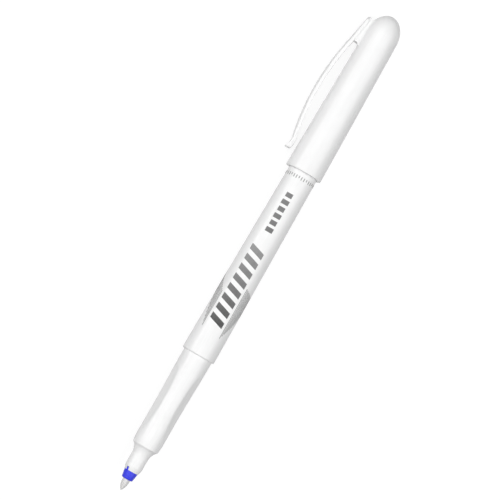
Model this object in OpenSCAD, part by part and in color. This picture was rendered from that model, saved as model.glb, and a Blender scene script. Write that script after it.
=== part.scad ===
// Ink eraser pen with a bullet nib and a domed cap, which is posted on the barrel's rear end.
// The pen lies on its side. The nib's writing point is the origin, and +X runs to the cap's dome.

/* [Nib] */
// Diameter of the nib
nib_d = 2.3; // [1.8:0.1:2.8]
// Length of nib in front of its holder
nib_out = 3.7; // [3.3:0.1:6]
// Length of the bullet point
nib_point = 3.1; // [1.6:0.1:3.2]
// Radius of the very tip
nib_tip_r = 0.2; // [0.15:0.05:0.5]
// Length of nib pushed into the reservoir
nib_sunk = 4; // [2:0.5:8]
// Length of the cone at the nib's back end
nib_back_cone = 1.6; // [0.5:0.1:2]

/* [Nib holder] */
// Diameter of the collar at its front
collar_front_d = 3.55; // [3.4:0.05:4]
// Diameter of the collar against the nose
collar_rear_d = 4.45; // [4.1:0.05:4.55]
// Length of the collar
collar_len = 2.65; // [2:0.05:5]
// Rounding of the collar's front edge
collar_round = 0.3; // [0.1:0.05:0.3]
// Wall of the stem that holds the nib inside the nose
stem_wall = 0.75; // [0.5:0.05:0.8]
// Length of the stem inside the nose
stem_len = 8; // [4:0.5:8]
// Gap round the nib behind its holder
nib_gap = 0.6; // [0.3:0.05:0.7]
// Width of the key tab
tab_w = 0.7; // [0.4:0.05:0.9]
// Length of the key tab along the pen
tab_len = 1; // [0.6:0.1:1.4]
// Turn of the key tab towards the clip
tab_turn = 36; // [0:1:90]

/* [Nose] */
// Diameter of the nose's front face
nose_face_d = 4.65; // [4.6:0.05:5]
// Diameter of the nose
nose_d = 5.45; // [5.2:0.05:6]
// Length of the cone behind the front face
nose_cone = 1.45; // [1:0.05:2]
// Length of the straight nose, which the cap's seal holds
nose_len = 3.6; // [3:0.1:8]
// Length of the hollow flare behind the nose
flare_len = 2.9; // [2:0.1:5]
// Diameter at the end of the flare
flare_d = 7.3; // [6.6:0.1:7.8]

/* [Grip section] */
// Diameter of the shoulder edge
shoulder_d = 8.4; // [8:0.1:8.8]
// Length of the shoulder's chamfer
shoulder_len = 0.5; // [0.3:0.05:1]
// Length over which the shoulder rounds into the grip
shoulder_round = 2.9; // [1:0.1:4]
// Diameter of the grip behind the shoulder
grip_front_d = 8.9; // [8.85:0.05:9.3]
// Diameter of the grip at the barrel
grip_rear_d = 9.5; // [9.4:0.05:9.8]
// Length of the grip section from the flare to the barrel
grip_len = 32.1; // [30:0.1:45]
// Number of finger scallops
scallops = 3; // [2:1:4]
// Distance from the flare to the middle of the scallops
scallop_mid = 14.8; // [13:0.1:18]
// Length of a scallop
scallop_len = 20.5; // [12:0.5:22]
// Depth of a scallop
scallop_depth = 0.45; // [0.2:0.05:0.6]
// Depth of the grip's waist, which is as long as a scallop
grip_waist = 0.12; // [0:0.02:0.2]
// Turn of the upper ridge between two scallops towards the clip
ridge_turn = -1; // [-20:1:20]
// Length of the spigot inside the barrel
spigot_len = 10; // [6:0.5:16]

/* [Barrel] */
// Diameter of the barrel at its front
barrel_front_d = 10.8; // [10.6:0.1:12]
// Diameter of the barrel at its rear end
barrel_rear_d = 9.06; // [8.9:0.02:9.3]
// Length of the barrel
barrel_len = 83.9; // [70:0.1:100]
// Wall of the barrel
barrel_wall = 1; // [0.8:0.05:1.1]
// Chamfer of the barrel's front edge
barrel_chamfer = 0.4; // [0.2:0.05:0.6]
// Height of the ledge inside the barrel behind the spigot
barrel_ledge = 0.25; // [0.1:0.05:0.4]

/* [Reservoir] */
// Space between the wrapped fibre rod and the barrel's narrow rear end
reservoir_gap = 0.26; // [0.15:0.01:0.5]
// Thickness of the film round the rod
wrap_t = 0.12; // [0.08:0.01:0.15]
// Clearance round the wrapped rod in the grip section
reservoir_play = 0.06; // [0.04:0.01:0.1]
// Distance from the mouth of the rod's seat to the rod
reservoir_seat = 3.15; // [2:0.05:5]

/* [Tail plug] */
// Thickness of the plug's head
plug_head = 1.5; // [1:0.1:2.5]
// Length of the plug's skirt inside the barrel
plug_skirt = 6; // [4:0.5:8]
// Wall of the plug's skirt
plug_wall = 1; // [0.7:0.05:1.2]
// Chamfer of the plug's edges
plug_chamfer = 0.4; // [0.1:0.05:0.5]
// Diameter of the plug's stop pin
plug_pin_d = 3; // [2:0.1:3.4]
// Length from the barrel's rear end to the rod that the pin stops
plug_pin_len = 11.6; // [9:0.1:30]

/* [Cap] */
// Length of barrel inside the posted cap
cap_posted = 20.25; // [12:0.05:30]
// Length of the cap beyond the nib's point when it is closed on the front
cap_room = 8.65; // [7:0.05:12]
// Wall of the cap at its mouth
cap_wall = 1.12; // [0.9:0.02:1.5]
// How much narrower the cap is at its dome than at its mouth
cap_narrowing = 1.46; // [0.8:0.02:1.5]
// Length of the dome
dome_len = 7.2; // [5:0.1:8]
// Wall of the dome
dome_wall = 1.1; // [0.8:0.1:1.4]
// Rounding of the mouth's outer edge
mouth_round = 0.25; // [0.1:0.05:0.6]
// Chamfer of the mouth's inner edge
mouth_chamfer = 0.25; // [0.1:0.05:0.4]
// Clearance round the piece that the cap is pushed on
cap_fit = 0.08; // [0.05:0.01:0.1]

/* [Cap seal] */
// Wall of the inner cup
seal_wall = 0.7; // [0.5:0.05:1]
// Clearance of the inner cup round the nose
seal_fit = 0.03; // [0.01:0.01:0.06]
// Space in front of the nib's point when the cap is closed
seal_room = 0.9; // [0.5:0.1:1.5]
// Thickness of the ring that holds the cup in the cap
seal_ring = 1.6; // [1:0.1:3]

/* [Clip] */
// Distance from the dome's top to the clip's top end
clip_top = 3.4; // [3:0.1:4]
// Length of the clip's root on the cap
clip_root_len = 9.5; // [6:0.1:12]
// Length of the bowed arm from the root to the end lip
clip_arm = 34.1; // [20:0.1:34.8]
// Height of the arm's outer face over the cap's mouth where the bow begins and ends
clip_rise = 2.55; // [2.3:0.05:3.5]
// Height of the bow in the arm
clip_bow = 1.85; // [1:0.05:2.5]
// Thickness of the arm
clip_t = 1.55; // [1.2:0.05:1.8]
// Thickness of the clip at its top end
clip_top_t = 1.3; // [1:0.05:1.8]
// Fall of the outer face from the root's start to its top end
clip_fall = 1.85; // [1.5:0.05:2]
// Radius in which the end lip bends outwards
lip_bend = 4.5; // [2.5:0.1:5]
// Turn of the end lip outwards from the pen's line
lip_turn = 35; // [10:1:40]
// Rounding of the clip's two ends
clip_round = 0.4; // [0.2:0.05:0.6]
// Cut of the corners at the clip's two ends, seen from above it
clip_corner = 0.8; // [0.3:0.1:1.2]
// How far the clip's top end stands past its web
clip_overhang = 0.5; // [0.3:0.1:1]
// Width of the clip at its root
clip_root_w = 4; // [3.4:0.1:5]
// Width of the clip at its free end
clip_low_w = 3.2; // [2.4:0.1:4]
// Width of the web that joins the root to the cap
web_w = 3.4; // [2:0.1:3.4]
// Radius of the web's fillet on the cap
web_fillet = 0.7; // [0.3:0.1:1]

/* [Lying] */
// How far the pen is rolled, so that the clip leans down on the table
clip_lean = 26; // [0:1:40]

/* [Hidden] */

// Clearance between pieces that are pressed together for good
press_gap = 0.02;
// Sides of the round shapes, and of the wide arcs that cut the scallops
round_fn = 96;
wide_fn = 256;
// Steps in a rounded edge, and in a long curve
edge_steps = 6;
curve_steps = 16;
// Overlap that lets a cut pass a face, or a boss sink into its wall
past = 0.5;

// Places along the pen, from the nib's point
nose_x = nib_out + collar_len;
straight_x = nose_x + nose_cone;
flare_x = straight_x + nose_len;
shoulder_x = flare_x + flare_len;
step_x = shoulder_x + grip_len;
tail_x = step_x + barrel_len;
mouth_x = tail_x - cap_posted;
cap_len = step_x + cap_room;
top_x = mouth_x + cap_len;
dome_x = top_x - dome_len;
stem_end_x = nose_x + stem_len;
spigot_end_x = step_x + spigot_len;
bore_x = shoulder_x + shoulder_len + shoulder_round;
reservoir_x = bore_x + reservoir_seat;
reservoir_end_x = tail_x - plug_pin_len;

// Radii that mating pieces share
nib_hole_r = nib_d / 2 + press_gap;
stem_r = nib_hole_r + stem_wall;
stem_hole_r = stem_r + press_gap;
passage_r = nib_d / 2 + nib_gap;
barrel_slope = (barrel_front_d - barrel_rear_d) / 2 / barrel_len;
socket_r = barrel_front_d / 2 - barrel_wall - barrel_slope * spigot_len;
spigot_r = socket_r - press_gap;
tail_hole_r = barrel_rear_d / 2 - barrel_wall;
wrap_r = tail_hole_r - reservoir_gap;
bore_r = wrap_r + reservoir_play;
reservoir_r = wrap_r - wrap_t - press_gap;
cap_bore_r = max(barrel_r(mouth_x), grip_rear_d / 2) + cap_fit;
mouth_r = cap_bore_r + cap_wall;
top_r = mouth_r - cap_narrowing / 2;
dome_bore_r = cap_bore_r - barrel_slope * (dome_x - mouth_x);

// Places of the inner cup, which holds the nose when the cap is closed
seal_x = mouth_x + step_x - flare_x;
seal_step_x = mouth_x + step_x - straight_x;
seal_end_x = mouth_x + step_x + seal_room;
seal_hole_r = nose_d / 2 + seal_fit;
seal_r = seal_hole_r + seal_wall;
chamber_r = nose_face_d / 2 + seal_fit;

// Places of the clip, along the pen and out from its axis
clip_top_x = top_x - clip_top;
root_x = clip_top_x - clip_root_len;
lip_x = root_x - clip_arm;
clip_r = mouth_r + clip_rise;
bow_r = (pow(clip_arm / 2, 2) + pow(clip_bow, 2)) / (2 * clip_bow);
bow_half = asin(clip_arm / 2 / bow_r);
bow_mid = [(root_x + lip_x) / 2, clip_r + clip_bow - bow_r];
lip_mid = bow_mid + (bow_r + lip_bend) * [-sin(bow_half), cos(bow_half)];
clip_low_x = lip_mid.x - lip_bend * sin(lip_turn);
web_low_x = root_x + web_fillet;
web_top_x = clip_top_x - clip_overhang;

// Radius of the tapered barrel, and of the cap's outside, at a place along the pen
function barrel_r(x) = barrel_front_d / 2 - barrel_slope * (x - step_x);
function cap_r(x) = x <= dome_x
    ? mouth_r - (mouth_r - top_r) * (x - mouth_x) / (dome_x - mouth_x)
    : top_r * sqrt(1 - pow((x - dome_x) / dome_len, 2));

// Radius of the grip behind its shoulder, with its shallow waist
function grip_r(x) =
    let (off = (x - shoulder_x - scallop_mid) / (scallop_len / 2))
    (grip_front_d + (grip_rear_d - grip_front_d) * (x - bore_x) / (step_x - bore_x)) / 2
        - grip_waist * max(0, 1 - off * off);

// Points of an arc, from one angle to another
function arc(centre, r, from, to, steps) =
    [for (i = [0:steps]) centre + r * [cos(from + (to - from) * i / steps), sin(from + (to - from) * i / steps)]];

// Points of a quarter ellipse that closes a dome on the axis
function dome(r, x, len) =
    [for (i = [1:curve_steps]) [r * cos(90 * i / curve_steps), x + len * sin(90 * i / curve_steps)]];

// Lays the pen down, rolled on its axis
module laid() rotate([-clip_lean, 0, 0]) children();

// Turns a piece round the pen's axis, from straight up towards the clip
module turned(angle) rotate([-angle, 0, 0]) children();

// Spins an outline of [radius, place along the pen] round the pen's axis
module spun() rotate([0, 90, 0]) rotate_extrude($fn = round_fn) children();

// Raises an outline of [place along the pen, height over its axis] to a plate in the clip's plane
module plate(width) linear_extrude(width, center = true) children();

module nib() {
    straight_r = nib_d / 2;
    // The ogive is tangent to the nib's side and to the ball at its tip
    ogive_r = (pow(nib_point - nib_tip_r, 2) + pow(straight_r, 2) - pow(nib_tip_r, 2)) / (2 * (straight_r - nib_tip_r));
    join = asin((nib_point - nib_tip_r) / (ogive_r - nib_tip_r));
    end_x = reservoir_x + nib_sunk;
    color("whitesmoke") laid() spun()
        polygon(concat(
            arc([0, nib_tip_r], nib_tip_r, -90, -join, edge_steps),
            arc([straight_r - ogive_r, nib_point], ogive_r, -join + join / curve_steps, 0, curve_steps),
            [[straight_r, end_x - nib_back_cone], [straight_r / 2, end_x], [0, end_x]]));
}

// The key tab of the holder. The slot in the nose's rim is the same shape, a little larger
module key_tab(gap) {
    laid() turned(tab_turn)
        translate([nose_x - past, -tab_w / 2 - gap, stem_r - past])
            cube([past + tab_len + gap, tab_w + 2 * gap, nose_d / 2]);
}

module nib_holder() {
    front_r = collar_front_d / 2;
    color("royalblue") difference() {
        union() {
            laid() spun()
                polygon(concat(
                    [[nib_hole_r, nib_out]],
                    arc([front_r - collar_round, nib_out + collar_round], collar_round, -90, 0, edge_steps),
                    [[collar_rear_d / 2, nose_x], [stem_r, nose_x], [stem_r, stem_end_x], [nib_hole_r, stem_end_x]]));
            intersection() {
                key_tab(0);
                laid() spun()
                    polygon([[stem_r - past / 2, nose_x - past / 2], [collar_rear_d / 2, nose_x - past / 2],
                        [nose_face_d / 2, nose_x], [nose_d / 2, straight_x], [stem_r - past / 2, straight_x]]);
            }
        }
        laid() spun() translate([0, nib_out - past]) square([nib_hole_r, stem_end_x - nib_out + 2 * past]);
    }
}

module grip_outline() {
    flare_r = flare_d / 2;
    drop = flare_r - nose_d / 2;
    hollow_r = (pow(flare_len, 2) + pow(drop, 2)) / (2 * drop);
    hollow_end = asin(flare_len / hollow_r);
    front_r = grip_front_d / 2;
    edge_x = shoulder_x + shoulder_len;
    waist_x = max(shoulder_x + scallop_mid - scallop_len / 2, bore_x + past / 2);
    waist_len = shoulder_x + scallop_mid + scallop_len / 2 - waist_x;
    polygon(concat(
        [[stem_hole_r, nose_x], [nose_face_d / 2, nose_x], [nose_d / 2, straight_x]],
        arc([nose_d / 2 + hollow_r, flare_x], hollow_r, 180, 180 - hollow_end, curve_steps),
        [for (i = [0:edge_steps]) let (t = i / edge_steps)
            [front_r - (front_r - shoulder_d / 2) * pow(1 - t, 2), edge_x + shoulder_round * t]],
        [for (i = [0:2 * curve_steps]) let (x = waist_x + waist_len * i / (2 * curve_steps)) [grip_r(x), x]],
        [[grip_rear_d / 2, step_x], [spigot_r, step_x], [spigot_r, spigot_end_x],
            [bore_r, spigot_end_x], [bore_r, reservoir_x], [passage_r, bore_x],
            [passage_r, stem_end_x + press_gap], [stem_hole_r, stem_end_x + press_gap]]));
}

module scallop_cutters() {
    cut_r = (pow(scallop_len / 2, 2) + pow(scallop_depth, 2)) / (2 * scallop_depth);
    mid_x = shoulder_x + scallop_mid;
    for (i = [0:scallops - 1])
        laid() turned(ridge_turn + 360 * (i + 0.5) / scallops)
            translate([mid_x, 0, grip_r(mid_x) - scallop_depth + cut_r])
                rotate([90, 0, 0]) cylinder(r = cut_r, h = 2 * grip_rear_d, center = true, $fn = wide_fn);
}

module grip_section() {
    color("white") difference() {
        laid() spun() grip_outline();
        scallop_cutters();
        key_tab(press_gap);
    }
}

module barrel() {
    front_r = barrel_front_d / 2;
    rear_r = barrel_rear_d / 2;
    color("white") laid() spun()
        polygon([
            [socket_r, step_x], [front_r - barrel_chamfer, step_x],
            [barrel_r(step_x + barrel_chamfer), step_x + barrel_chamfer], [rear_r, tail_x],
            [tail_hole_r, tail_x], [tail_hole_r, tail_x - plug_skirt],
            [socket_r - barrel_ledge, spigot_end_x + press_gap], [socket_r, spigot_end_x + press_gap]]);
}

module ink_reservoir() {
    hole_r = nib_d / 2 + press_gap;
    hole_end_x = reservoir_x + nib_sunk + press_gap;
    color("ivory") laid() spun()
        polygon([
            [hole_r, reservoir_x], [reservoir_r, reservoir_x],
            [reservoir_r, reservoir_end_x], [0, reservoir_end_x],
            [0, hole_end_x], [hole_r / 2, hole_end_x], [hole_r, hole_end_x - nib_back_cone]]);
}

module reservoir_wrap() {
    inner_r = wrap_r - wrap_t;
    color("lightcyan") laid() spun()
        translate([inner_r, reservoir_x]) square([wrap_t, reservoir_end_x - reservoir_x]);
}

module tail_plug() {
    skirt_r = tail_hole_r - press_gap;
    head_r = barrel_rear_d / 2 - plug_chamfer / 2;
    skirt_x = tail_x - plug_skirt + press_gap;
    pin_x = reservoir_end_x + press_gap;
    head_x = tail_x + plug_head;
    color("white") laid() spun()
        polygon([
            [0, pin_x], [plug_pin_d / 2, pin_x], [plug_pin_d / 2, tail_x - plug_head],
            [skirt_r - plug_wall, tail_x - plug_head], [skirt_r - plug_wall, skirt_x],
            [skirt_r - plug_chamfer, skirt_x], [skirt_r, skirt_x + plug_chamfer],
            [skirt_r, tail_x + press_gap], [head_r, tail_x + press_gap],
            [head_r, head_x - plug_chamfer], [head_r - plug_chamfer, head_x], [0, head_x]]);
}

// Side outline of the whole clip: end lip, bowed arm and the straight root that falls to the dome.
// The lip is cut off square to the pen's line
module clip_outline() {
    top_r = clip_r - clip_fall;
    lip_r = lip_bend + clip_t;
    reach = lip_mid.x - clip_low_x;
    inner_turn = asin(reach / lip_r);
    polygon(concat(
        arc(bow_mid, bow_r, 90 - bow_half, 90 + bow_half, curve_steps),
        arc(lip_mid, lip_bend, 270 + bow_half, 270 - asin((reach - clip_round) / lip_bend), edge_steps),
        [[clip_low_x, lip_mid.y - lip_bend * cos(lip_turn) - clip_round],
            [clip_low_x, lip_mid.y - lip_r * cos(inner_turn) + clip_round]],
        arc(lip_mid, lip_r, 270 - asin((reach - clip_round) / lip_r), 270 + bow_half, edge_steps),
        arc(bow_mid, bow_r - clip_t, 90 + bow_half, 90 - bow_half, curve_steps),
        [[clip_top_x - clip_round, top_r - clip_top_t], [clip_top_x, top_r - clip_top_t + clip_round],
            [clip_top_x, top_r - clip_round], [clip_top_x - clip_round, top_r]]));
}

// The clip narrows from its root to its free end, and the corners of both ends are cut
module clip_blade() {
    low_half = clip_low_w / 2;
    root_half = clip_root_w / 2;
    half = [
        [clip_low_x - past, low_half - clip_corner], [clip_low_x, low_half - clip_corner],
        [clip_low_x + clip_corner, low_half], [root_x, root_half],
        [clip_top_x - clip_corner, root_half], [clip_top_x, root_half - clip_corner],
        [clip_top_x + past, root_half - clip_corner]];
    intersection() {
        plate(clip_root_w) clip_outline();
        rotate([-90, 0, 0]) linear_extrude(clip_r + clip_bow + past)
            polygon(concat(half, [for (i = [len(half) - 1:-1:0]) [half[i].x, -half[i].y]]));
    }
}

// One side of the plane where the arm springs from the root
module beyond_root(side) {
    size = 2 * top_x;
    translate([side > 0 ? root_x : root_x - size, -size / 2, -size / 2]) cube(size);
}

// Web between the root and the cap, sunk into the cap's wall
module web_outline() {
    foot = cap_r(root_x) - past;
    fillet_mid = [web_low_x - web_fillet, cap_r(root_x) + web_fillet];
    polygon(concat(
        [[root_x, foot], [root_x, cap_r(root_x)]],
        arc(fillet_mid, web_fillet, -90, 0, edge_steps),
        [[web_low_x, clip_r - clip_t / 2 - clip_fall * web_fillet / clip_root_len],
            [web_top_x, clip_r - clip_fall - clip_top_t / 2],
            [web_top_x, cap_r(web_top_x) - past],
            [(dome_x + web_top_x) / 2, cap_r((dome_x + web_top_x) / 2) - past], [dome_x, foot]]));
}

module cap_shell() {
    color("white") difference() {
        union() {
            laid() spun()
                polygon(concat(
                    [[0, mouth_x], [mouth_r - mouth_round, mouth_x]],
                    arc([cap_r(mouth_x + mouth_round) - mouth_round, mouth_x + mouth_round], mouth_round,
                        -90 + 90 / edge_steps, 0, edge_steps - 1),
                    [[top_r, dome_x]], dome(top_r, dome_x, dome_len)));
            laid() {
                plate(web_w) web_outline();
                intersection() {
                    clip_blade();
                    beyond_root(1);
                }
            }
        }
        laid() spun()
            polygon(concat(
                [[0, mouth_x - past], [cap_bore_r + mouth_chamfer + past, mouth_x - past],
                    [cap_bore_r, mouth_x + mouth_chamfer], [dome_bore_r, dome_x]],
                dome(dome_bore_r, dome_x, dome_len - dome_wall)));
    }
}

module cap_seal() {
    ring_end_x = seal_x + seal_ring;
    ring_r = cap_bore_r - barrel_slope * (ring_end_x - mouth_x) - press_gap;
    color("gainsboro") laid() spun()
        polygon([
            [seal_hole_r + seal_wall / 2, seal_x], [ring_r, seal_x], [ring_r, ring_end_x], [seal_r, ring_end_x],
            [seal_r, seal_step_x], [chamber_r + seal_wall, seal_step_x + seal_wall],
            [chamber_r + seal_wall, seal_end_x + seal_wall / 2], [chamber_r + seal_wall / 2, seal_end_x + seal_wall],
            [0, seal_end_x + seal_wall], [0, seal_end_x], [chamber_r, seal_end_x],
            [chamber_r, seal_step_x + seal_wall], [seal_hole_r, seal_step_x], [seal_hole_r, seal_x + seal_wall / 2]]);
}

module clip() {
    color("white") laid() intersection() {
        clip_blade();
        beyond_root(-1);
    }
}

nib();
nib_holder();
grip_section();
barrel();
ink_reservoir();
reservoir_wrap();
tail_plug();
cap_shell();
cap_seal();
clip();
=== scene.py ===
import math

import bmesh
import bpy
from mathutils import Matrix, Vector


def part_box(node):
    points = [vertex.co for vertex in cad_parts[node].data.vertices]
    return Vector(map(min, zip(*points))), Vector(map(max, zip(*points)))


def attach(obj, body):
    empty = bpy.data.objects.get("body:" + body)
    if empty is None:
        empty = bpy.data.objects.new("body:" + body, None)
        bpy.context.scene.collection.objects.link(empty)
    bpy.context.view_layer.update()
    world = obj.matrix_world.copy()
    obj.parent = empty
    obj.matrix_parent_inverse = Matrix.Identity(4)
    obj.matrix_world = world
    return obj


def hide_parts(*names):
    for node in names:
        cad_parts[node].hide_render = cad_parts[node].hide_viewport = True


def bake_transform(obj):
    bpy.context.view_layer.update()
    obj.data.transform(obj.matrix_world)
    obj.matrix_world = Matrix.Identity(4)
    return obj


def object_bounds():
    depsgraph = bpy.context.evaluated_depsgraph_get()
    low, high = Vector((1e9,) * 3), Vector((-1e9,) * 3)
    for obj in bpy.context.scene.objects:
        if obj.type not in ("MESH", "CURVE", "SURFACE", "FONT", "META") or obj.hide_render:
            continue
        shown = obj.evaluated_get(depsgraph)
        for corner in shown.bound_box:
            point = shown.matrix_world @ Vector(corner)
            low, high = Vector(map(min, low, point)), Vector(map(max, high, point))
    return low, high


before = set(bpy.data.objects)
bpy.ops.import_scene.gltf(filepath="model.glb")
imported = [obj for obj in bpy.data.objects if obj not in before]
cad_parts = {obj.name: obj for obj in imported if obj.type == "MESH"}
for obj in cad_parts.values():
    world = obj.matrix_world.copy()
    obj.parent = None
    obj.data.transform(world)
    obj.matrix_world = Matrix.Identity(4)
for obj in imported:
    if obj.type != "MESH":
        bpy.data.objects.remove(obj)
cad_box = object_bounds()

# Nib. A round rod of pressed polyester fibres, ground to a bullet point. It is pushed through its
# holder from the front, and its back end is sunk into the reservoir. The sizes of all pieces are in
# mm, which MM turns into metres.
MM = 0.001
nib_r = 1.15
nib_point = 3.1
nib_tip_r = 0.2
nib_back_cone = 1.6
nib_end_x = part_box("nib")[1].x / MM
nib_relief = 0.03
nib_colour = (0.72, 0.715, 0.705, 1)
tip_steps = 8
ogive_steps = 24
weld = 0.002


def arc(mid_x, mid_r, radius, start, end, steps):
    """Points of an arc from one angle to another in degrees. Angle 90 points away from the axis."""
    angles = [math.radians(start + (end - start) * step / steps) for step in range(steps + 1)]
    return [(mid_x + radius * math.cos(angle), mid_r + radius * math.sin(angle)) for angle in angles]


def turned(outline, rounds=(), closed=False, sides=128):
    """Spins an outline of (place along the pen, radius) points round the pen's axis.
    Each of rounds gives a corner's number in the outline, how far it is cut back, and its steps."""
    shape = bmesh.new()
    points = [shape.verts.new((x * MM, 0, r * MM)) for x, r in outline]
    for first, second in zip(points, points[1:] + points[:1] * closed):
        shape.edges.new((first, second))
    for number, cut, steps in rounds:
        bmesh.ops.bevel(shape, geom=[points[number]], offset=cut * MM, offset_type="OFFSET",
                        segments=steps, profile=0.5, affect="VERTICES", material=-1)
    bmesh.ops.spin(shape, geom=shape.verts[:] + shape.edges[:], axis=(1, 0, 0), cent=(0, 0, 0),
                   angle=math.tau, steps=sides, use_merge=True)
    bmesh.ops.remove_doubles(shape, verts=shape.verts, dist=weld * MM)
    bmesh.ops.recalc_face_normals(shape, faces=shape.faces)
    return shape


def finished(shape, name, material, crease=32):
    """Makes the object, smooth but for the edges that turn by more than the crease angle."""
    for face in shape.faces:
        face.smooth = True
    for edge in shape.edges:
        edge.smooth = edge.calc_face_angle(0) < math.radians(crease)
    mesh = bpy.data.meshes.new(name)
    shape.to_mesh(mesh)
    shape.free()
    mesh.materials.append(material)
    piece = bpy.data.objects.new(name, mesh)
    bpy.context.scene.collection.objects.link(piece)
    return piece


def put(material, kind, inputs=None, **settings):
    """Adds a node to a material. An input is a value or another node's output."""
    node = material.node_tree.nodes.new(kind)
    for setting, value in settings.items():
        setattr(node, setting, value)
    for socket, value in (inputs or {}).items():
        if isinstance(value, bpy.types.NodeSocket):
            material.node_tree.links.new(value, node.inputs[socket])
        else:
            node.inputs[socket].default_value = value
    return node


def grains(material, length, width, detail=3, roughness=0.55):
    """Noise whose grains have a length along the pen and a width across it."""
    place = put(material, "ShaderNodeTexCoord").outputs["Object"]
    scale = (1 / (length * MM), 1 / (width * MM), 1 / (width * MM))
    spread = put(material, "ShaderNodeMapping", {"Vector": place, "Scale": scale})
    return put(material, "ShaderNodeTexNoise", {
        "Vector": spread.outputs["Vector"], "Scale": 1, "Detail": detail,
        "Roughness": roughness}).outputs["Fac"]


def level(material, factor, low, high, start=0.35, end=0.65):
    """A number that follows a pattern from one level to another."""
    return put(material, "ShaderNodeMapRange", {
        "Value": factor, "From Min": start, "From Max": end, "To Min": low,
        "To Max": high}).outputs["Result"]


def shaded(material, factor, colour, low, start=0.35, end=0.65):
    """A colour that a pattern darkens to a share of itself."""
    ramp = put(material, "ShaderNodeValToRGB", {"Fac": factor})
    ramp.color_ramp.elements[0].position = start
    ramp.color_ramp.elements[0].color = (colour[0] * low, colour[1] * low, colour[2] * low, 1)
    ramp.color_ramp.elements[1].position = end
    ramp.color_ramp.elements[1].color = colour
    return ramp.outputs["Color"]


def fill(material, sockets):
    """Sets or links the sockets of the material's own shader."""
    shader = material.node_tree.nodes["Principled BSDF"]
    for socket, value in sockets.items():
        if isinstance(value, bpy.types.NodeSocket):
            material.node_tree.links.new(value, shader.inputs[socket])
        else:
            shader.inputs[socket].default_value = value


def fibres(name, colour, depth):
    """Bundled fibres that lie along the pen, with darker lines and pores between them."""
    material = bpy.data.materials.new(name)
    material.use_nodes = True
    strands = grains(material, length=2.5, width=0.07, detail=4, roughness=0.65)
    pores = grains(material, length=0.25, width=0.12, detail=2)
    height = put(material, "ShaderNodeMath", {0: strands, 1: pores}, operation="ADD").outputs[0]
    relief = put(material, "ShaderNodeBump", {
        "Height": height, "Strength": 0.8, "Distance": depth * MM}).outputs["Normal"]
    fill(material, {
        "Base Color": shaded(material, strands, colour, low=0.86, start=0.3, end=0.55),
        "Roughness": level(material, pores, low=0.95, high=0.75), "Normal": relief,
        "Sheen Weight": 0.15, "Sheen Roughness": 0.5, "IOR": 1.4})
    return material


nib_fibre = fibres("nib_fibre", nib_colour, nib_relief)
ogive_r = ((nib_point - nib_tip_r) ** 2 + nib_r ** 2 - nib_tip_r ** 2) / (2 * (nib_r - nib_tip_r))
ogive_turn = math.degrees(math.asin((nib_point - nib_tip_r) / (ogive_r - nib_tip_r)))
rod = turned(
    arc(nib_tip_r, 0, nib_tip_r, 180, 90 + ogive_turn, tip_steps)
    + arc(nib_point, nib_r - ogive_r, ogive_r, 90 + ogive_turn, 90, ogive_steps)[1:]
    + [(nib_end_x - nib_back_cone, nib_r), (nib_end_x, nib_r / 2), (nib_end_x, 0)], sides=96)
nib = finished(rod, "bullet_nib", nib_fibre)
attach(nib, "pen")
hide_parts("nib")

# Nib holder. A blue moulded plug, pressed into the nose and gripping the nib. Its collar is a short
# cone in front of the nose, and a small key tab fills a slot in the nose's rim.
collar_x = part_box("nib_holder")[0].x / MM
nose_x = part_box("grip_section")[0].x / MM
stem_end_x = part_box("nib_holder")[1].x / MM
collar_front_r = 1.775
collar_rear_r = 2.225
nib_hole_r = 1.17
stem_r = 1.92
collar_round = 0.3
edge_round = 0.1
tab_w = 0.7
tab_len = 1
tab_root = 0.3
tab_high = 0.8
tab_mid_r = 1.98
tab_rise = 15
tab_turn = 36
tab_round = 0.06
clip_lean = 26
rub_dulling = 0.09
holder_blue = (0.035, 0.046, 0.75, 1)


def moulded(name, colour, roughness, skin=0.012):
    """Moulded plastic: a faintly clouded colour, a fine skin, rubbed lines that run along the pen,
    and edges that handling has dulled."""
    material = bpy.data.materials.new(name)
    material.use_nodes = True
    clouds = grains(material, length=9, width=4)
    rubs = grains(material, length=7, width=0.22, detail=2)
    pits = grains(material, length=0.2, width=0.2, detail=2)
    edges = put(material, "ShaderNodeNewGeometry").outputs["Pointiness"]
    worn = put(material, "ShaderNodeMath", {
        0: level(material, edges, low=0, high=0.12, start=0.53, end=0.6),
        1: level(material, rubs, low=0.3, high=1)}, operation="MULTIPLY").outputs[0]
    rubbed = level(material, rubs, low=roughness + rub_dulling, high=roughness, start=0.3, end=0.42)
    dull = put(material, "ShaderNodeMath", {0: rubbed, 1: worn}, operation="ADD").outputs[0]
    relief = put(material, "ShaderNodeBump", {
        "Height": pits, "Strength": 0.5, "Distance": skin * MM}).outputs["Normal"]
    fill(material, {
        "Base Color": shaded(material, clouds, colour, low=0.97), "Roughness": dull,
        "Normal": relief, "IOR": 1.49, "Specular IOR Level": 0.3})
    return material


def roll(turn):
    """Turns a piece round the pen's axis, from straight up on the table towards the clip."""
    return Matrix.Rotation(math.radians(-clip_lean - turn), 4, "X")


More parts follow.
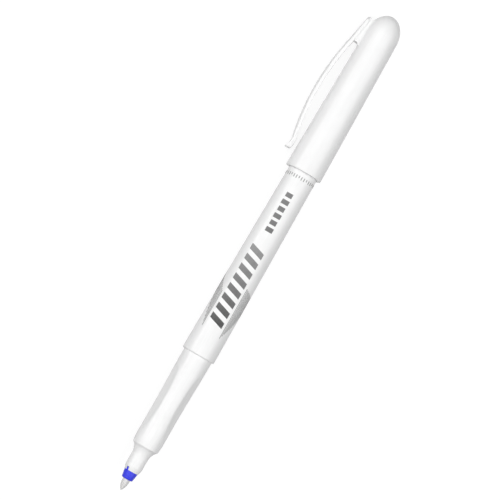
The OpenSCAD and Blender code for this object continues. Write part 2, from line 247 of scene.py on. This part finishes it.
blue_plastic = moulded("blue_plastic", holder_blue, roughness=0.3)
holder = turned([
    (collar_x, nib_hole_r), (collar_x, collar_front_r), (nose_x, collar_rear_r), (nose_x, stem_r),
    (stem_end_x, stem_r), (stem_end_x, nib_hole_r)],
    rounds=[(0, edge_round, 2), (1, collar_round, 5), (2, edge_round, 3), (4, collar_round, 3)],
    closed=True)
tab = bmesh.ops.create_cube(holder, size=MM)["verts"]
tab_mid_x = nose_x + (tab_len - tab_root) / 2
bmesh.ops.scale(holder, vec=(tab_len + tab_root, tab_w, tab_high), verts=tab)
bmesh.ops.rotate(holder, cent=(0, 0, 0), matrix=Matrix.Rotation(math.radians(-tab_rise), 3, "Y"),
                 verts=tab)
bmesh.ops.translate(holder, vec=(tab_mid_x * MM, 0, tab_mid_r * MM), verts=tab)
bmesh.ops.rotate(holder, cent=(0, 0, 0), matrix=roll(tab_turn), verts=tab)
tab_edges = list({edge for corner in tab for edge in corner.link_edges})
bmesh.ops.bevel(holder, geom=tab_edges, offset=tab_round * MM, offset_type="OFFSET", segments=2,
                profile=0.5, affect="EDGES", material=-1)
nib_holder = finished(holder, "collar_and_tab", blue_plastic)
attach(nib_holder, "pen")
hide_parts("nib_holder")

# Grip section. One glossy white moulding: the nose that the cap's seal holds, a hollow flare, and a
# round shoulder that runs into the grip with its three finger scallops. Its spigot is pressed into
# the barrel.
step_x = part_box("barrel")[0].x / MM
spigot_end_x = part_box("grip_section")[1].x / MM
reservoir_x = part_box("ink_reservoir")[0].x / MM
nose_cone = 1.45
nose_len = 3.6
flare_len = 2.9
shoulder_len = 0.5
shoulder_round = 2.9
straight_x = nose_x + nose_cone
flare_x = straight_x + nose_len
shoulder_x = flare_x + flare_len
shoulder_end_x = shoulder_x + shoulder_len + shoulder_round
nose_face_r = 2.325
nose_r = 2.725
flare_r = 3.65
shoulder_r = 4.2
grip_front_r = 4.45
grip_rear_r = 4.75
grip_waist = 0.12
spigot_r = 4.273
spigot_chamfer = 0.3
bore_r = 3.33
passage_r = 1.75
nose_face_round = 0.1
nose_round = 0.2
press_gap = 0.02
flare_steps = 16
shoulder_steps = 8
grip_steps = 90
white = (0.87, 0.87, 0.87, 1)

scallops = 3
scallop_mid = 14.8
scallop_mid_x = shoulder_x + scallop_mid
scallop_len = 20.5
scallop_depth = 0.45
scallop_blur = 0.05
scallop_past = 1
ridge_turn = -1
outer_skin = 0.3
tab_play = 0.03
slot_high = 2
slot_sunk = 0.1

flare_drop = flare_r - nose_r
hollow_r = ((shoulder_x - flare_x) ** 2 + flare_drop ** 2) / (2 * flare_drop)
hollow_turn = math.degrees(math.asin((shoulder_x - flare_x) / hollow_r))
shoulder_curve = []
for step in range(shoulder_steps + 1):
    share = step / shoulder_steps
    shoulder_curve.append((shoulder_x + shoulder_len + shoulder_round * share,
                           grip_front_r - (grip_front_r - shoulder_r) * (1 - share) ** 2))


def grip_r(x):
    """The grip's radius behind its shoulder, with its shallow waist."""
    off = (x - scallop_mid_x) / (scallop_len / 2)
    taper = (grip_rear_r - grip_front_r) * (x - shoulder_end_x) / (step_x - shoulder_end_x)
    return grip_front_r + taper - grip_waist * max(0, 1 - off ** 2)


def cut_away(shape, tool):
    """Takes the space of one shape out of another."""
    bodies = []
    for part, name in ((shape, "kept_shape"), (tool, "cutting_shape")):
        mesh = bpy.data.meshes.new(name)
        part.to_mesh(mesh)
        part.free()
        bodies.append(bpy.data.objects.new(name, mesh))
        bpy.context.scene.collection.objects.link(bodies[-1])
    cut = bodies[0].modifiers.new("cut", "BOOLEAN")
    cut.object = bodies[1]
    cut.solver = "EXACT"
    result = bmesh.new()
    result.from_object(bodies[0], bpy.context.evaluated_depsgraph_get())
    for body in bodies:
        bpy.data.meshes.remove(body.data)
    return result


grip_places = [shoulder_end_x + (step_x - shoulder_end_x) * step / grip_steps
               for step in range(1, grip_steps)]
grip_side = [(x, grip_r(x)) for x in grip_places]
white_plastic = moulded("white_plastic", white, roughness=0.27)
grip = turned(
    [(nose_x, stem_r), (nose_x, nose_face_r), (straight_x, nose_r)]
    + arc(flare_x, nose_r + hollow_r, hollow_r, -90, -90 + hollow_turn, flare_steps)
    + shoulder_curve + grip_side
    + [(step_x, grip_rear_r), (step_x, spigot_r), (spigot_end_x - spigot_chamfer, spigot_r),
       (spigot_end_x, spigot_r - spigot_chamfer), (spigot_end_x, bore_r), (reservoir_x, bore_r),
       (shoulder_end_x, passage_r), (stem_end_x + press_gap, passage_r),
       (stem_end_x + press_gap, stem_r)],
    rounds=[(1, nose_face_round, 3), (2, nose_round, 4)], closed=True, sides=192)

# A scallop is round along the pen and flat across it. The outer skin sinks to its floor, and the
# edge between the two is softly rounded.
scallop_r = ((scallop_len / 2) ** 2 + scallop_depth ** 2) / (2 * scallop_depth)
floor_middle_r = grip_r(scallop_mid_x) - scallop_depth
for point in grip.verts:
    x = point.co.x / MM
    off = x - scallop_mid_x
    radius = math.hypot(point.co.y, point.co.z) / MM
    inside = radius < grip_front_r - outer_skin
    if inside or abs(off) > scallop_len / 2 + scallop_past or x > step_x - scallop_past:
        continue
    floor_r = floor_middle_r + scallop_r - math.sqrt(scallop_r ** 2 - off ** 2)
    turn = math.degrees(math.atan2(point.co.y, point.co.z)) - clip_lean - ridge_turn
    from_middle = math.radians(turn % (360 / scallops) - 180 / scallops)
    cut_r = floor_r / math.cos(from_middle)
    soft_r = (radius + cut_r - math.sqrt((radius - cut_r) ** 2 + scallop_blur ** 2)) / 2
    point.co.y *= soft_r / radius
    point.co.z *= soft_r / radius

slot = bmesh.new()
slot_box = bmesh.ops.create_cube(slot, size=MM)["verts"]
slot_mid_r = stem_r - slot_sunk + slot_high / 2
bmesh.ops.scale(slot, vec=(2 * (tab_len + tab_play), tab_w + 2 * tab_play, slot_high), verts=slot_box)
bmesh.ops.translate(slot, vec=(nose_x * MM, 0, slot_mid_r * MM), verts=slot_box)
bmesh.ops.rotate(slot, cent=(0, 0, 0), matrix=roll(tab_turn), verts=slot_box)
grip = cut_away(grip, slot)
bmesh.ops.recalc_face_normals(grip, faces=grip.faces)
grip_section = finished(grip, "grip_moulding", white_plastic)
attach(grip_section, "pen")
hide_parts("grip_section")

# Reservoir. A soft rod of polyester fibres that holds the eraser fluid, wrapped in clear film. It is
# closed in between the grip section's seat and the plug's pin, so its solids keep their shape.
reservoir_colour = (0.8, 0.79, 0.74, 1)
reservoir_relief = 0.05
film_colour = (0.9, 0.95, 0.96, 1)
film_ripple = 0.05


def dressed(node, material):
    """Gives a solid of the frame its material."""
    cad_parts[node].data.materials.clear()
    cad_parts[node].data.materials.append(material)


dressed("ink_reservoir", fibres("reservoir_fibre", reservoir_colour, reservoir_relief))
clear_film = bpy.data.materials.new("clear_film")
clear_film.use_nodes = True
film_waves = grains(clear_film, length=14, width=1.5, detail=2)
film_relief = put(clear_film, "ShaderNodeBump", {
    "Height": film_waves, "Strength": 0.4, "Distance": film_ripple * MM}).outputs["Normal"]
fill(clear_film, {
    "Base Color": shaded(clear_film, film_waves, film_colour, low=0.95),
    "Roughness": level(clear_film, film_waves, low=0.1, high=0.2), "Transmission Weight": 0.9,
    "IOR": 1.5, "Normal": film_relief})
dressed("reservoir_wrap", clear_film)

# Barrel. A white moulded tube that tapers to the rear and is pressed over the grip section's spigot.
# Its front edge is rounded and stands proud of the grip, and its rear end is closed by the plug.
tail_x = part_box("barrel")[1].x / MM
barrel_front_r = 5.4
barrel_rear_r = 4.53
barrel_wall = 1
barrel_edge = 0.5
barrel_rear_edge = 0.15
barrel_ledge = 0.25
plug_skirt = 6
socket_r = 4.293
ring_pitch = 2


def barrel_r(x):
    """The barrel's outer radius at a place along the pen."""
    return barrel_front_r + (barrel_rear_r - barrel_front_r) * (x - step_x) / (tail_x - step_x)


printed_white_plastic = moulded("printed_white_plastic", white, roughness=0.25)
barrel_side = [(x, barrel_r(x)) for x in range(math.ceil(step_x) + 1, math.floor(tail_x), ring_pitch)]
tube = turned(
    [(step_x, socket_r), (step_x, barrel_front_r)] + barrel_side
    + [(tail_x - barrel_rear_edge, barrel_rear_r), (tail_x, barrel_rear_r - barrel_rear_edge),
       (tail_x, barrel_rear_r - barrel_wall), (tail_x - plug_skirt, barrel_rear_r - barrel_wall),
       (spigot_end_x + press_gap, socket_r - barrel_ledge), (spigot_end_x + press_gap, socket_r)],
    rounds=[(1, barrel_edge, 5)], closed=True)
barrel = finished(tube, "barrel_tube", printed_white_plastic)
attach(barrel, "pen")
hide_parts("barrel")

# Print. A plain pattern of bars, fine lines, squares and ticks in dark and grey ink, padded onto the
# barrel in thin raised films, one for each ink.
ink_high = 0.02
ink_sunk = 0.02
ink_relief = 0.01
patch_len = 3
patch_w = 0.4


def inked(sheet, start, length, turn, width, slant=0):
    """Adds one printed mark: its place and length along the pen, the turn of its middle in degrees
    from the side that the camera sees towards the clip, its width round the barrel, and how far its
    sides slant along the pen."""
    patch = bmesh.ops.create_grid(sheet, x_segments=max(1, round(length / patch_len)),
                                  y_segments=max(2, round(width / patch_w)), size=0.5)["verts"]
    faces = list({face for point in patch for face in point.link_faces})
    raised = bmesh.ops.extrude_face_region(sheet, geom=faces, use_keep_orig=True)["geom"]
    tops = [point for point in raised if isinstance(point, bmesh.types.BMVert)]
    for points, height in ((patch, -ink_sunk), (tops, ink_high)):
        for point in points:
            across = point.co.y * width
            x = start + (point.co.x + 0.5) * length + point.co.y * slant
            angle = math.radians(clip_lean + turn) + across / barrel_r(x)
            radius = barrel_r(x) + height
            point.co = (x * MM, radius * math.sin(angle) * MM, radius * math.cos(angle) * MM)


def ink(name, start_grey, end_grey, start_x, end_x):
    """Printing ink whose grey changes along the pen, with a faint mottle."""
    material = bpy.data.materials.new(name)
    material.use_nodes = True
    place = put(material, "ShaderNodeTexCoord").outputs["Object"]
    along = put(material, "ShaderNodeSeparateXYZ", {"Vector": place}).outputs["X"]
    mottle = grains(material, length=0.8, width=0.5)
    fade = level(material, along, low=0, high=1, start=start_x * MM, end=end_x * MM)
    speckled = put(material, "ShaderNodeMath", {
        0: fade, 1: level(material, mottle, low=-0.06, high=0.06)}, operation="ADD").outputs[0]
    ramp = put(material, "ShaderNodeValToRGB", {"Fac": speckled})
    ramp.color_ramp.elements[0].color = (start_grey, start_grey, start_grey, 1)
    ramp.color_ramp.elements[1].color = (end_grey, end_grey, end_grey, 1)
    relief = put(material, "ShaderNodeBump", {
        "Height": mottle, "Strength": 0.3, "Distance": ink_relief * MM}).outputs["Normal"]
    fill(material, {
        "Base Color": ramp.outputs["Color"], "Roughness": level(material, mottle, low=0.4, high=0.5),
        "Normal": relief, "IOR": 1.5})
    return material


def printed(sheet, name, material):
    """Makes one ink's marks and fixes them to the barrel."""
    bmesh.ops.recalc_face_normals(sheet, faces=sheet.faces)
    piece = finished(sheet, name, material)
    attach(piece, "pen")


bars = 8
bar_x = 57.5
bar_pitch = 3.4
bar_len = 1.9
bar_w = 4.9
bar_slant = 1.6
row_turn = 4
bar_marks = bmesh.new()
for number in range(bars):
    inked(bar_marks, bar_x + bar_pitch * number, bar_len, row_turn, bar_w, slant=bar_slant)
printed(bar_marks, "print_bars",
        ink("fading_ink", start_grey=0.02, end_grey=0.24, start_x=57, end_x=85))

# A fan of lines lies on each side of the bars. Away from them, each line starts further back than
# the last and is shorter.
lines = 11
line_pitch = 4.6
line_w = 0.17
fans = [(54, 0.9, 17, 1.1, -34, -1), (55, 1.3, 12, 0.7, 42, 1)]
line_marks = bmesh.new()
for number in range(lines):
    for start, later, length, shorter, turn, way in fans:
        inked(line_marks, start + later * number, length - shorter * number,
              turn + way * line_pitch * number, line_w)
printed(line_marks, "print_lines",
        ink("line_ink", start_grey=0.1, end_grey=0.2, start_x=54, end_x=72))

# The squares stand behind the bars in the same row, and every second one is narrower. Each has a
# dash further round the barrel, on the side away from the clip.
squares = 6
square_x = 89
square_pitch = 2.4
square_len = 1.5
square_w = 2.4
narrower = 0.25
dash_inset = 0.3
dash_len = 0.5
dash_w = 1.6
dash_turn = -96
square_marks = bmesh.new()
for number in range(squares):
    inked(square_marks, square_x + square_pitch * number, square_len, row_turn,
          square_w - narrower * (number % 2))
    inked(square_marks, square_x + dash_inset + square_pitch * number, dash_len, dash_turn, dash_w)
printed(square_marks, "print_squares",
        ink("square_ink", start_grey=0.12, end_grey=0.16, start_x=89, end_x=103))

# The ticks stand in a ring in front of the cap's mouth, and every third one is shorter.
ticks = 34
tick_x = 107.4
tick_len = 1.1
tick_shorter = 0.35
tick_turn = 100
tick_pitch = 10.5
tick_w = 0.3
tick_marks = bmesh.new()
for number in range(ticks):
    shorter = tick_shorter * (number % 3 == 0)
    inked(tick_marks, tick_x + shorter, tick_len - shorter, tick_turn - tick_pitch * number, tick_w)
printed(tick_marks, "print_ticks",
        ink("tick_ink", start_grey=0.3, end_grey=0.3, start_x=107, end_x=109))

# Tail plug. A white moulded plug, pressed into the barrel's rear end, with a pin inside that stops
# the reservoir. Its head shows when the cap is taken off the rear end.
pin_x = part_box("tail_plug")[0].x / MM
head_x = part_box("tail_plug")[1].x / MM
pin_r = 1.5
head_r = 4.33
plug_floor = 1.5
plug_floor_x = tail_x - plug_floor
skirt_r = barrel_rear_r - barrel_wall - press_gap
skirt_x = tail_x - plug_skirt + press_gap
skirt_wall = 1
plug_round = 0.4
gate_mark_r = 1
gate_mark_depth = 0.25
stopper = turned(
    [(pin_x, 0), (pin_x, pin_r), (plug_floor_x, pin_r), (plug_floor_x, skirt_r - skirt_wall),
     (skirt_x, skirt_r - skirt_wall), (skirt_x, skirt_r), (tail_x + press_gap, skirt_r),
     (tail_x + press_gap, head_r), (head_x, head_r), (head_x, gate_mark_r),
     (head_x - gate_mark_depth, gate_mark_r - gate_mark_depth), (head_x - gate_mark_depth, 0)],
    rounds=[(8, plug_round, 5), (7, edge_round, 2), (5, plug_round, 2), (9, edge_round, 2)])
plug = finished(stopper, "tail_plug_moulding", white_plastic)
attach(plug, "pen")
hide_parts("tail_plug")

# Cap. A white moulded shell with a dome, pushed over the barrel's rear end. A web on its side joins
# it to the clip's root, which is moulded in one piece with it.
mouth_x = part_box("cap_shell")[0].x / MM
top_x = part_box("cap_shell")[1].x / MM
root_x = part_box("clip")[1].x / MM
dome_len = 7.2
dome_wall = 1.1
dome_x = top_x - dome_len
mouth_r = 5.95
top_r = 5.22
cap_bore_r = 4.83
dome_bore_r = 4.337
mouth_round = 0.25
mouth_chamfer = 0.25
mouth_steps = 6
web_w = 3.4
web_flare = 0.45
web_fillet = 0.7
web_sunk = 0.5
web_drop = 0.15
fillet_start = -75
fillet_steps = 6
web_cuts = 8
cut_snap = 0.001
clip_top = 3.4
clip_overhang = 0.5
clip_top_x = top_x - clip_top
web_top_x = clip_top_x - clip_overhang
clip_r = 8.5
clip_fall = 1.85
clip_top_t = 1.3
clip_t = 1.55
cap_white = (0.88, 0.88, 0.88, 1)


def cap_r(x):
    """The cap's outer radius at a place along the pen."""
    if x <= dome_x:
        return mouth_r + (top_r - mouth_r) * (x - mouth_x) / (dome_x - mouth_x)
    return top_r * math.sqrt(max(0, 1 - ((x - dome_x) / dome_len) ** 2))


def dome(radius, length, steps=24):
    """Points of a quarter ellipse that closes a dome on the axis."""
    turns = [math.radians(90 * step / steps) for step in range(steps)]
    curve = [(dome_x + length * math.sin(turn), radius * math.cos(turn)) for turn in turns]
    return curve + [(dome_x + length, 0)]


cap_plastic = moulded("cap_plastic", cap_white, roughness=0.22)
rim_x = mouth_x + mouth_round
shell_side = [(x, cap_r(x)) for x in range(math.ceil(mouth_x) + 1, math.floor(dome_x), ring_pitch)]
shell = turned(
    dome(dome_bore_r, dome_len - dome_wall)[::-1]
    + [(mouth_x + mouth_chamfer, cap_bore_r), (mouth_x, cap_bore_r + mouth_chamfer)]
    + arc(rim_x, cap_r(rim_x) - mouth_round, mouth_round, 180, 90, mouth_steps)
    + shell_side + dome(top_r, dome_len))


def plate(outline, width):
    """A plate whose outline of (place along the pen, height over its axis) lies in the clip's plane."""
    shape = bmesh.new()
    corners = [shape.verts.new((x * MM, height * MM, -width / 2 * MM)) for x, height in outline]
    raised = bmesh.ops.extrude_face_region(shape, geom=[shape.faces.new(corners)], use_keep_orig=True)
    far_side = [point for point in raised["geom"] if isinstance(point, bmesh.types.BMVert)]
    bmesh.ops.translate(shape, vec=(0, 0, width * MM), verts=far_side)
    bmesh.ops.recalc_face_normals(shape, faces=shape.faces)
    return shape


# The web's foot is sunk in the shell and widens towards it, as a fillet. Its top is sunk in the clip.
web_low_x = root_x + web_fillet
web_low_r = clip_r - clip_t / 2 - web_drop
web = plate(
    [(dome_x, cap_r(dome_x) - web_sunk), (root_x, cap_r(root_x) - web_sunk), (root_x, cap_r(root_x))]
    + arc(root_x, cap_r(root_x) + web_fillet, web_fillet, fillet_start, 0, fillet_steps)
    + [(web_low_x, web_low_r), (web_top_x, clip_r - clip_fall - clip_top_t / 2),
       (web_top_x, cap_r(web_top_x) - web_sunk)], web_w)
for step in range(web_cuts):
    height = cap_r(root_x) - web_sunk + (web_sunk + web_fillet) * step / (web_cuts - 1)
    bmesh.ops.bisect_plane(web, geom=web.verts[:] + web.edges[:] + web.faces[:], dist=cut_snap * MM,
                           plane_co=(0, height * MM, 0), plane_no=(0, 1, 0))
for point in web.verts:
    x, height, half = (number / MM for number in point.co)
    over = height - math.sqrt(max(0, cap_r(x) ** 2 - half ** 2))
    point.co.z *= 1 + web_flare * max(0, 1 - max(over, 0) / web_fillet) ** 2 / (web_w / 2)
bmesh.ops.transform(web, matrix=roll(0), verts=web.verts)
web_mesh = bpy.data.meshes.new("web")
web.to_mesh(web_mesh)
shell.from_mesh(web_mesh)
bpy.data.meshes.remove(web_mesh)
cap_shell = finished(shell, "cap_moulding", cap_plastic)
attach(cap_shell, "cap")
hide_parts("cap_shell")

# Cap seal. A soft inner cup, pressed into the cap, that closes round the nose and keeps the nib wet.
# It is seen only in the cap's mouth, where its solid's shape is right.
seal_grey = (0.72, 0.73, 0.74, 1)
seal_skin = 0.03
dressed("cap_seal", moulded("soft_plastic", seal_grey, roughness=0.5, skin=seal_skin))

# Clip. The springy arm is moulded in one piece with its root on the web. It bows away from the cap,
# comes back to it above the mouth, and ends in a lip that is turned out so that cloth slides under it.
clip_arm = 34.1
clip_bow = 1.85
lip_bend = 4.5
lip_turn = 35
clip_root_w = 4
clip_low_w = 3.2
clip_round = 0.3
clip_edge = 0.15
clip_crown = 0.6
crown_depth = 1
crown_start = 0.6
crown_run = 6
low_crown = 0.2
top_crown = 1.2
arm_steps = 36
lip_steps = 8
half_slices = 8
sharp = math.radians(40)
crosswise = 0.8

bow_r = ((clip_arm / 2) ** 2 + clip_bow ** 2) / (2 * clip_bow)
bow_half = math.degrees(math.asin(clip_arm / 2 / bow_r))
bow_mid = (root_x - clip_arm / 2, clip_r + clip_bow - bow_r)
lip_x = bow_mid[0] - (bow_r + lip_bend) * math.sin(math.radians(bow_half))
lip_h = bow_mid[1] + (bow_r + lip_bend) * math.cos(math.radians(bow_half))
top_h = clip_r - clip_fall
clip_low_x = lip_x - lip_bend * math.sin(math.radians(lip_turn))


def clip_slice(across):
    """Side outline of the clip at a share of the way from its middle plane to its side. The outer
    face is crowned along the arm and the root, and the two ends are crowned as seen from above."""
    low_end = clip_low_x + low_crown * across ** 2
    top_end = clip_top_x - top_crown * across ** 2
    outer_turn = math.degrees(math.asin((lip_x - low_end) / lip_bend))
    inner_turn = math.degrees(math.asin((lip_x - low_end) / (lip_bend + clip_t)))
    flush = (arc(*bow_mid, bow_r, 90 - bow_half, 90 + bow_half, arm_steps)
             + arc(lip_x, lip_h, lip_bend, 270 + bow_half, 270 - outer_turn, lip_steps)[1:])
    sunk = (arc(*bow_mid, bow_r - crown_depth, 90 - bow_half, 90 + bow_half, arm_steps)
            + arc(lip_x, lip_h, lip_bend + crown_depth, 270 + bow_half, 270 - outer_turn, lip_steps)[1:])
    outer = []
    for high, low in zip(flush, sunk):
        fade = max(0, min(1, (high[0] - clip_low_x - crown_start) / crown_run))
        share = clip_crown * across ** 2 * fade
        outer.append((high[0] + (low[0] - high[0]) * share, high[1] + (low[1] - high[1]) * share))
    inner = (arc(lip_x, lip_h, lip_bend + clip_t, 270 - inner_turn, 270 + bow_half, lip_steps)[:-1]
             + arc(*bow_mid, bow_r - clip_t, 90 + bow_half, 90 - bow_half, arm_steps))
    fall = clip_fall / (clip_top_x - root_x) * (top_end - clip_top_x)
    return outer + inner + [
        (top_end, top_h - clip_top_t - fall), (top_end, top_h - clip_crown / 2 * across ** 2 - fall)]


blade = bmesh.new()
loops = []
for step in range(-half_slices, half_slices + 1):
    across = step / half_slices
    corners = [blade.verts.new((x * MM, height * MM, across * clip_root_w / 2 * MM))
               for x, height in clip_slice(across)]
    edges = [blade.edges.new(pair) for pair in zip(corners, corners[1:] + corners[:1])]
    if loops:
        bmesh.ops.bridge_loops(blade, edges=loops[-1] + edges)
    if abs(step) == half_slices:
        blade.faces.new(corners)
    loops.append(edges)
bmesh.ops.recalc_face_normals(blade, faces=blade.faces)

# The sharp edges that run across the two ends are rounded first, while the blade's sides are still
# parallel. Then the blade is narrowed towards its lip, and the edges of its two sides are rounded.
ends = [edge for edge in blade.edges if edge.calc_face_angle(0) > sharp
        and abs(edge.verts[0].co.z - edge.verts[1].co.z) > crosswise * edge.calc_length()]
bmesh.ops.bevel(blade, geom=ends, offset=clip_round * MM, offset_type="OFFSET", segments=4,
                profile=0.5, affect="EDGES", material=-1, clamp_overlap=True)
for point in blade.verts:
    x = point.co.x / MM
    width = clip_low_w + (clip_root_w - clip_low_w) * min(1, (x - clip_low_x) / (root_x - clip_low_x))
    point.co.z *= width / clip_root_w
sides = [edge for edge in blade.edges if edge.calc_face_angle(0) > sharp]
bmesh.ops.bevel(blade, geom=sides, offset=clip_edge * MM, offset_type="OFFSET", segments=3,
                profile=0.5, affect="EDGES", material=-1, clamp_overlap=True)
bmesh.ops.transform(blade, matrix=roll(0), verts=blade.verts)
clip = finished(blade, "clip_blade", cap_plastic)
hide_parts("clip")
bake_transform(clip)

# Camera. It looks square onto the clip's side from about 0.7 m, a little from the nib's end, with
# the pen turned 30 degrees from upright.
along = Vector((1, 0, 0))
facing = roll(0) @ Vector((0, 0, 1))
clipward = roll(0) @ Vector((0, 1, 0))
aim_x = 81.9
aim_clipward = 2.33
view_distance = 0.7
view_tilt = math.radians(3.5)
pen_slant = math.radians(30)
aim = aim_x * MM * along + aim_clipward * MM * clipward
away = math.cos(view_tilt) * facing - math.sin(view_tilt) * along
upward = math.cos(view_tilt) * along + math.sin(view_tilt) * facing
image_right = math.sin(pen_slant) * upward - math.cos(pen_slant) * clipward
image_up = math.cos(pen_slant) * upward + math.sin(pen_slant) * clipward
camera = bpy.data.objects.new("camera", bpy.data.cameras.new("camera"))
camera.data.sensor_width = 36
camera.data.lens = 166.7
camera.data.clip_start = 0.01
camera.matrix_world = Matrix.Translation(aim + view_distance * away) @ Matrix(
    (image_right, image_up, away)).transposed().to_4x4()
bpy.context.scene.collection.objects.link(camera)
bpy.context.scene.camera = camera
bpy.context.scene.view_settings.view_transform = "Standard"

# Table and room. A pale floor and a plain pale room, which the camera and the reflections see as
# white. The floor reaches 3 m each way and lies just under the pen, whose soft shadow it shows.
room_light = 0.1
floor_reach = 3
floor_gap = 0.05
floor_grey = (0.16, 0.16, 0.16, 1)
floor_glow = 0.9


def seen_ray(tree):
    """1 where a camera, reflection or refraction ray meets the surface."""
    path = tree.nodes.new("ShaderNodeLightPath")
    seen = path.outputs["Is Camera Ray"]
    for name in ("Is Glossy Ray", "Is Transmission Ray"):
        either = tree.nodes.new("ShaderNodeMath")
        either.operation = "MAXIMUM"
        tree.links.new(seen, either.inputs[0])
        tree.links.new(path.outputs[name], either.inputs[1])
        seen = either.outputs[0]
    return seen


def chosen(tree, factor, unseen, seen):
    """A strength for the light that the room gives, and another for how it looks."""
    choice = tree.nodes.new("ShaderNodeMapRange")
    tree.links.new(factor, choice.inputs["Value"])
    choice.inputs["To Min"].default_value = unseen
    choice.inputs["To Max"].default_value = seen
    return choice.outputs["Result"]


room = bpy.data.worlds.new("room")
room.use_nodes = True
background = room.node_tree.nodes["Background"]
background.inputs["Color"].default_value = (1, 1, 1, 1)
room.node_tree.links.new(
    chosen(room.node_tree, seen_ray(room.node_tree), room_light, 1), background.inputs["Strength"])
bpy.context.scene.world = room

floor_shape = bmesh.new()
bmesh.ops.create_grid(floor_shape, x_segments=1, y_segments=1, size=floor_reach,
                      matrix=Matrix.Translation((0, 0, cad_box[0].z - floor_gap * MM)))
floor = bpy.data.objects.new("floor", bpy.data.meshes.new("floor"))
floor_shape.to_mesh(floor.data)
floor_shape.free()
bpy.context.scene.collection.objects.link(floor)
table = bpy.data.materials.new("table")
table.use_nodes = True
fill(table, {"Base Color": floor_grey, "Roughness": 0.9, "Specular IOR Level": 0,
             "Emission Color": (1, 1, 1, 1),
             "Emission Strength": chosen(table.node_tree, seen_ray(table.node_tree), 0, floor_glow)})
floor.data.materials.append(table)

# Softboxes. Each is a square lamp that faces the pen, with a turn from the camera's side towards the
# clip in degrees, a size in metres and a power in watts.
lamp_distance = 1.3
softboxes = [("clip_side_softbox", 56, 0.5, 3.7), ("key_softbox", 25, 1.6, 15),
             ("far_side_softbox", -45, 1.2, 10.4)]
for name, towards_clip, size, energy in softboxes:
    way = Matrix.Rotation(math.radians(-towards_clip), 3, along) @ facing
    lamp = bpy.data.objects.new(name, bpy.data.lights.new(name, "AREA"))
    lamp.data.size = size
    lamp.data.energy = energy
    lamp.matrix_world = (Matrix.Translation(aim + lamp_distance * way)
                         @ way.to_track_quat("Z", "Y").to_matrix().to_4x4())
    bpy.context.scene.collection.objects.link(lamp)
